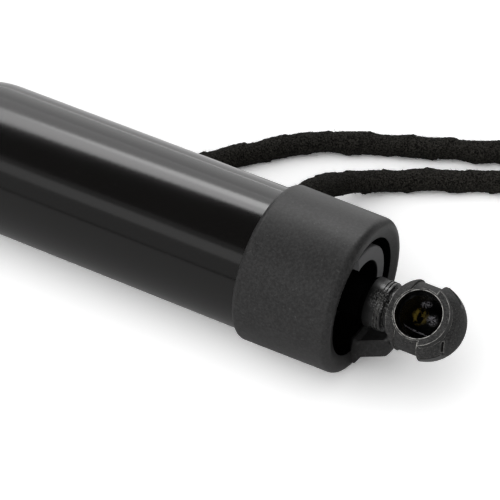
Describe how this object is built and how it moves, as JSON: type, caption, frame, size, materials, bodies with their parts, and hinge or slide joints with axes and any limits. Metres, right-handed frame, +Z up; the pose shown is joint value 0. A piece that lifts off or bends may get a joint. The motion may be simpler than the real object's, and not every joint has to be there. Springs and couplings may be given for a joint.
{
  "type": "power tailgate strut",
  "caption": "Electric spindle strut that lifts a tailgate: a black motor tube with a moulded end cap, a telescoping push tube, a ball socket at each end and a taped cable.",
  "frame": {"origin": "centre of the ball seat in the housing's ball socket", "axes": "+X along the strut towards the push tube, +Z up with the strut lying on its end caps, +Y to the side that the sockets' openings lean to"},
  "size_m": [0.5282, 0.1347, 0.0398],
  "materials": {
    "black_paint": "gloss black enamel on steel tube",
    "cap_plastic": "fine matt moulded dark grey plastic",
    "black_plastic": "moulded black glass-filled plastic",
    "blackened_steel": "black coated metal with worn bright edges",
    "clip_steel": "dark spring steel",
    "rubber": "black rubber",
    "bare_steel": "plain machined steel",
    "spring_steel": "black spring wire",
    "bronze": "oiled sintered bronze",
    "copper": "enamelled copper",
    "carbon": "pressed carbon",
    "magnet": "sintered ferrite",
    "circuit_board": "green lacquered board",
    "sintered_steel": "sintered steel with oil",
    "white_plastic": "natural moulded plastic",
    "aluminium": "die-cast aluminium",
    "push_tube_black": "satin black tube",
    "cloth_tape": "black fleece tape wound over the wires",
    "lock_plastic": "red moulded plastic"
  },
  "bodies": {
    "housing": {"housing_tube": "black_paint", "end_cap": "cap_plastic", "retaining_segment": "cap_plastic", "end_plug": "black_plastic", "housing_ball_socket": "blackened_steel", "isolator_ring": "rubber", "motor_can": "bare_steel", "brush_holder": "black_plastic", "motor_brushes": "carbon", "sensor_board": "circuit_board", "rear_motor_bush": "bronze", "front_motor_bush": "bronze", "motor_magnets": "magnet", "ring_gear": "sintered_steel", "gearbox_plate": "bare_steel", "bearing_carrier": "aluminium", "bearing_outer_race": "bare_steel", "spring_seat": "bare_steel", "lift_spring": "spring_steel", "guide_bush": "black_plastic", "wiper_seal": "rubber", "mouth_cap": "cap_plastic", "cable_grommet": "rubber", "cable": "cloth_tape", "connector_body": "black_plastic", "connector_lock": "lock_plastic"},
    "rotor": {"motor_shaft": "bare_steel", "armature_core": "bare_steel", "armature_windings": "copper", "commutator": "copper", "sensor_magnet": "magnet", "sun_gear": "sintered_steel"},
    "spindle_unit": {"planet_carrier": "sintered_steel", "spindle": "bare_steel", "spindle_tip_bush": "black_plastic", "bearing_inner_race": "bare_steel", "bearing_balls": "bare_steel"},
    "planet_1": {"planet_gear_1": "white_plastic"},
    "planet_2": {"planet_gear_2": "white_plastic"},
    "planet_3": {"planet_gear_3": "white_plastic"},
    "rod": {"push_tube": "push_tube_black", "spindle_nut": "white_plastic", "rod_end_plug": "black_plastic", "rod_ball_socket": "blackened_steel"},
    "housing_clip": {"housing_socket_clip": "clip_steel"},
    "rod_clip": {"rod_socket_clip": "clip_steel"}
  },
  "joints": [
    {"name": "rod_extend", "type": "slide", "parent": "housing", "child": "rod", "axis": [1, 0, 0], "range_m": [0, 0.19], "deforming": ["lift_spring"]},
    {"name": "spindle_turn", "type": "hinge", "parent": "housing", "child": "spindle_unit", "pos_m": [0.14088, 0, 0], "axis": [1, 0, 0], "range_deg": [-3420, 0]},
    {"name": "rotor_turn", "type": "hinge", "parent": "housing", "child": "rotor", "pos_m": [0.0411, 0, 0], "axis": [1, 0, 0], "range_deg": [-15390, 0]},
    {"name": "planet_1_turn", "type": "hinge", "parent": "spindle_unit", "child": "planet_1", "pos_m": [0.0971, 0.00875, 0], "axis": [1, 0, 0], "range_deg": [0, 9576]},
    {"name": "planet_2_turn", "type": "hinge", "parent": "spindle_unit", "child": "planet_2", "pos_m": [0.0971, -0.00437, 0.00757], "axis": [1, 0, 0], "range_deg": [0, 9576]},
    {"name": "planet_3_turn", "type": "hinge", "parent": "spindle_unit", "child": "planet_3", "pos_m": [0.0971, -0.00437, -0.00757], "axis": [1, 0, 0], "range_deg": [0, 9576]},
    {"name": "housing_clip_release", "type": "slide", "parent": "housing", "child": "housing_clip", "axis": [0, -0.5878, -0.809], "range_m": [0, 0.002]},
    {"name": "rod_clip_release", "type": "slide", "parent": "rod", "child": "rod_clip", "axis": [0, -0.5878, -0.809], "range_m": [0, 0.002]}
  ],
  "couplings": [
    {"joint": "spindle_turn", "follows": "rod_extend", "rad_per_m": -314.16},
    {"joint": "rotor_turn", "follows": "rod_extend", "rad_per_m": -1413.7},
    {"joint": "planet_1_turn", "follows": "rod_extend", "rad_per_m": 879.64},
    {"joint": "planet_2_turn", "follows": "rod_extend", "rad_per_m": 879.64},
    {"joint": "planet_3_turn", "follows": "rod_extend", "rad_per_m": 879.64}
  ]
}
